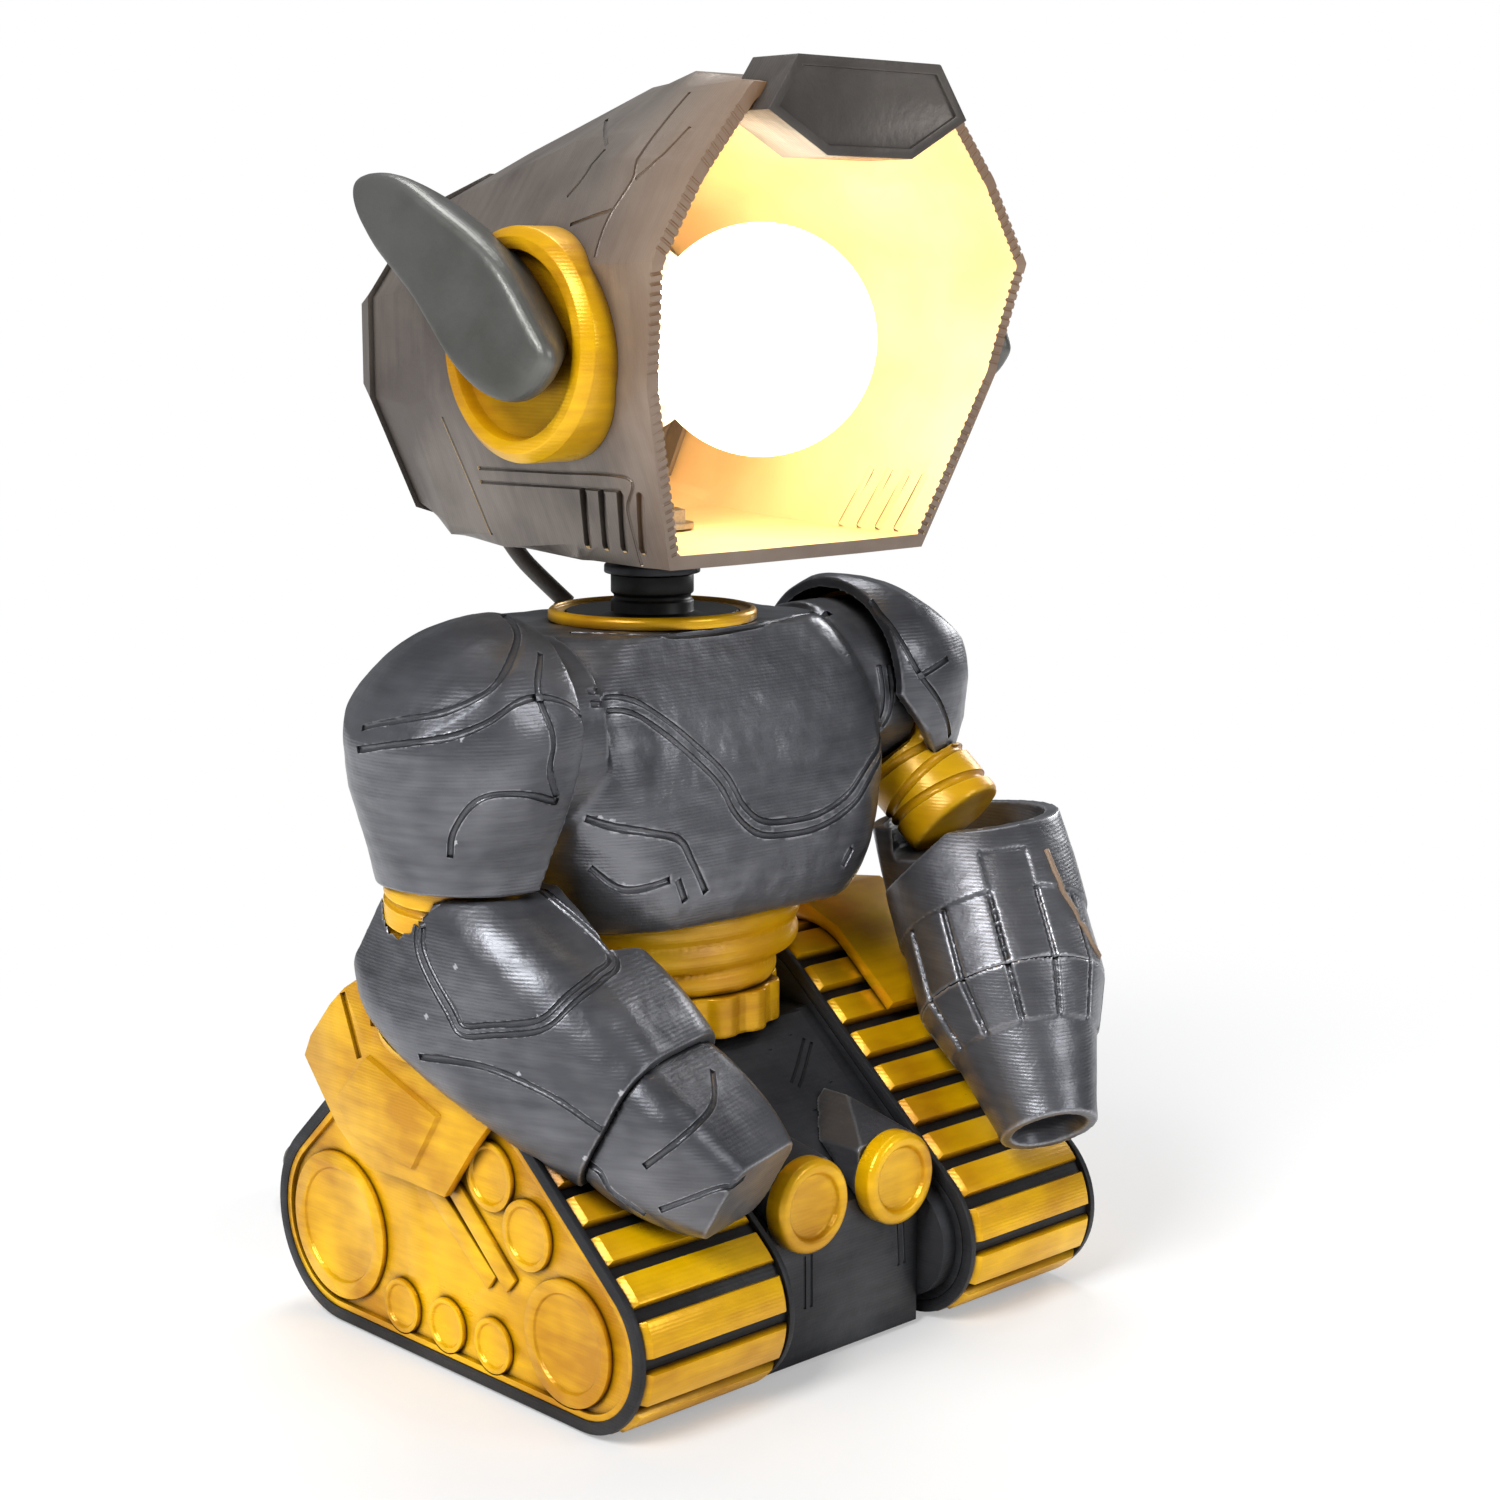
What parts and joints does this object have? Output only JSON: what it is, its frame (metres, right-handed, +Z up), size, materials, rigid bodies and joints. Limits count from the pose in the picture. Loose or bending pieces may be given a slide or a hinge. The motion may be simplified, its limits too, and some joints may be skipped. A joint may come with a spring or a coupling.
{
  "type": "robot shaped desk lamp",
  "caption": "Desk lamp shaped as a robot on crawler tracks: open helmet holding a bulb, turning neck, swinging arms, cord with switch.",
  "frame": {"origin": "on the ground at the middle of the track base", "axes": "+Z up, -Y the way the robot looks, +X its own left side"},
  "size_m": [0.2287, 0.2541, 0.335],
  "materials": {
    "grey_print": "grey printed plastic with fine layer lines, brushed look",
    "yellow_print": "golden yellow printed plastic, slightly glossy",
    "charcoal_print": "charcoal printed plastic",
    "black_plastic": "black moulded plastic",
    "rubber": "soft black rubber",
    "steel": "zinc plated steel",
    "aluminium_cap": "rolled aluminium screw cap",
    "bulb_glass": "opal glass, lit from inside",
    "lead_jacket": "grey soft vinyl jacket",
    "white_holder": "white heat resistant plastic",
    "pin_brass": "nickel plated brass pins"
  },
  "bodies": {
    "base": {"base_cover": "charcoal_print", "chest_shell": "grey_print", "collar_ring": "yellow_print", "cover_screws": "steel", "headlight_caps": "yellow_print", "headlight_housings": "charcoal_print", "hull": "charcoal_print", "lead_coil": "lead_jacket", "link_lead": "lead_jacket", "mains_lead_hull": "lead_jacket", "mains_lead_middle": "lead_jacket", "mains_lead_plug": "lead_jacket", "mudguard_left": "yellow_print", "mudguard_right": "yellow_print", "neck_nut": "steel", "neck_post": "charcoal_print", "plug_body": "black_plastic", "plug_pins": "pin_brass", "road_wheels_left": "yellow_print", "road_wheels_right": "yellow_print", "rubber_feet": "rubber", "side_plate_left": "yellow_print", "side_plate_right": "yellow_print", "strain_relief": "lead_jacket", "switch_body": "black_plastic", "torso_grommet": "lead_jacket", "track_belt_left": "charcoal_print", "track_belt_right": "charcoal_print", "track_frames": "charcoal_print", "track_pads_left": "yellow_print", "track_pads_right": "yellow_print", "track_rams": "yellow_print", "waist_bellows": "yellow_print", "waist_belt": "yellow_print"},
    "head": {"helmet_shell": "grey_print", "helmet_back": "grey_print", "brow_plate": "grey_print", "ear_cup_left": "yellow_print", "ear_cup_right": "yellow_print", "ear_horn_left": "grey_print", "ear_horn_right": "grey_print", "neck_socket": "charcoal_print", "lamp_holder": "white_holder", "holder_ring": "white_holder", "bulb_glass": "bulb_glass", "bulb_cap": "aluminium_cap", "head_gland": "lead_jacket"},
    "arm_right": {"pauldron_right": "grey_print", "upper_arm_right": "yellow_print", "shoulder_peg_right": "charcoal_print", "gauntlet": "grey_print", "hand": "grey_print", "elbow_bulge": "yellow_print"},
    "arm_left": {"pauldron_left": "grey_print", "upper_arm_left": "yellow_print", "shoulder_peg_left": "charcoal_print", "cannon_body": "grey_print", "cannon_nozzle": "grey_print", "cannon_fin": "charcoal_print"},
    "rocker": {"switch_rocker": "black_plastic"}
  },
  "joints": [
    {"name": "neck_swivel", "type": "hinge", "parent": "base", "child": "head", "pos_m": [0, 0.015, 0.2026], "axis": [0, 0, 1], "range_deg": [-30, 30]},
    {"name": "shoulder_right", "type": "hinge", "parent": "base", "child": "arm_right", "pos_m": [-0.066, 0, 0.166], "axis": [-1, 0, 0], "range_deg": [0, 60]},
    {"name": "shoulder_left", "type": "hinge", "parent": "base", "child": "arm_left", "pos_m": [0.066, 0.009, 0.166], "axis": [-1, 0, 0], "range_deg": [0, 60]},
    {"name": "rocker_tilt", "type": "hinge", "parent": "base", "child": "rocker", "pos_m": [0.064, 0.092, 0.0114], "axis": [0, 1, 0], "range_deg": [0, 16]}
  ]
}
